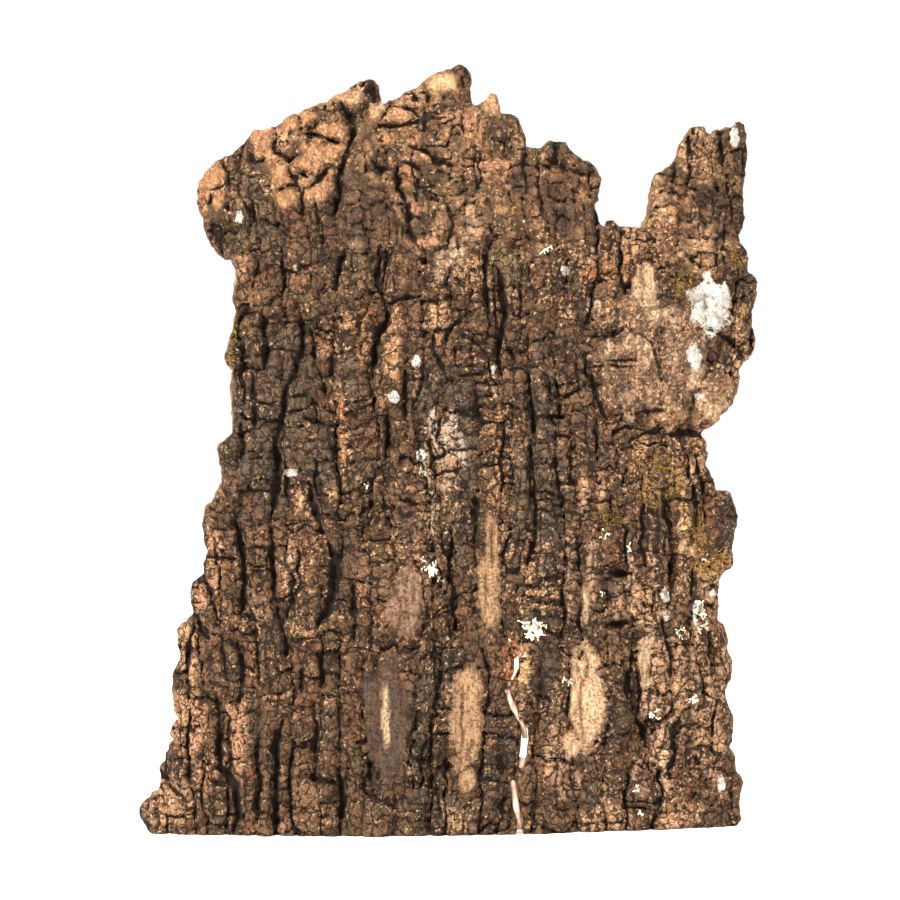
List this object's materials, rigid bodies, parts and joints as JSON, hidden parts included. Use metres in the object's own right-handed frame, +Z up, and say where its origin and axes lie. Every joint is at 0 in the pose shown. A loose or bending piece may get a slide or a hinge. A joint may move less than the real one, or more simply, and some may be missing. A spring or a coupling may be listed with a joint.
{
  "type": "piece of bark",
  "caption": "Thick curved slab of deeply furrowed tree bark, sawn flat across the foot and broken along the other edges, with lichen and moss.",
  "frame": {"origin": "middle of the foot of the whole object's bounding box", "axes": "+Z up along the grain, away from the sawn foot; the furrowed outer face looks towards -Y and the smooth inner face towards +Y; +X to the right when looking at the outer face"},
  "size_m": [0.2506, 0.0464, 0.3042],
  "materials": {
    "bark": "rough weathered bark, dark plates over tan and orange inner layers",
    "lichen": "pale matte leafy lichen",
    "moss": "dry golden-green moss"
  },
  "bodies": {
    "root": {"bark": "bark", "lichen_rosette": "lichen", "lichen_tuft_middle": "lichen", "lichen_tuft_right": "lichen", "moss_under_burl": "moss", "moss_tuft_right": "moss"}
  },
  "joints": []
}
